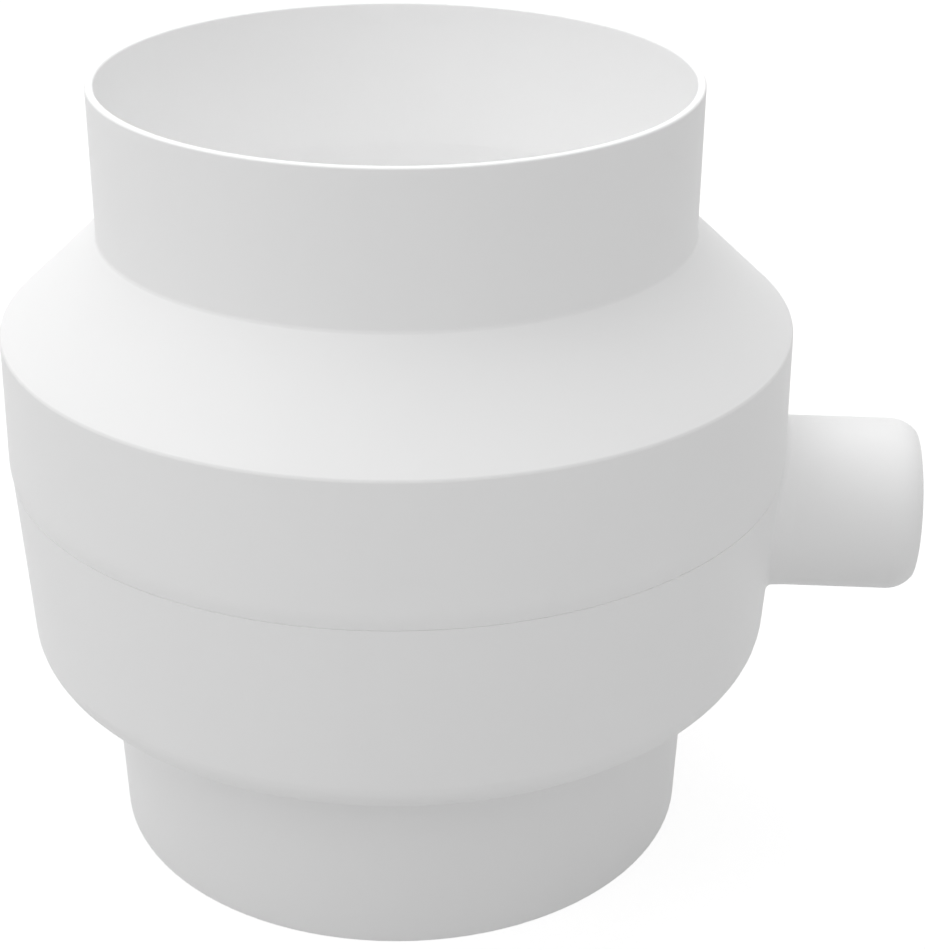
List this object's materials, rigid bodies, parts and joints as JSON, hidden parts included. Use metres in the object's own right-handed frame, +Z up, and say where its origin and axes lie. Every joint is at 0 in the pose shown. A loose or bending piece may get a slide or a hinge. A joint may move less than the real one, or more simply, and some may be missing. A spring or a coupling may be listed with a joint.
{
  "type": "condensate collector",
  "caption": "White moulded collector that catches condensate in a vent pipe: round spigot on top, coned drum with an inner gutter, pipe socket below and a side drain stub.",
  "frame": {"origin": "centre of the lower socket's mouth, on the pipe axis", "axes": "+Z up the pipe axis, +X along the drain stub"},
  "size_m": [0.1731, 0.1478, 0.1485],
  "materials": {
    "white_plastic": "injection-moulded white polypropylene with a satin surface"
  },
  "bodies": {
    "root": {"upper_cover": "white_plastic", "collecting_bowl": "white_plastic"}
  },
  "joints": []
}
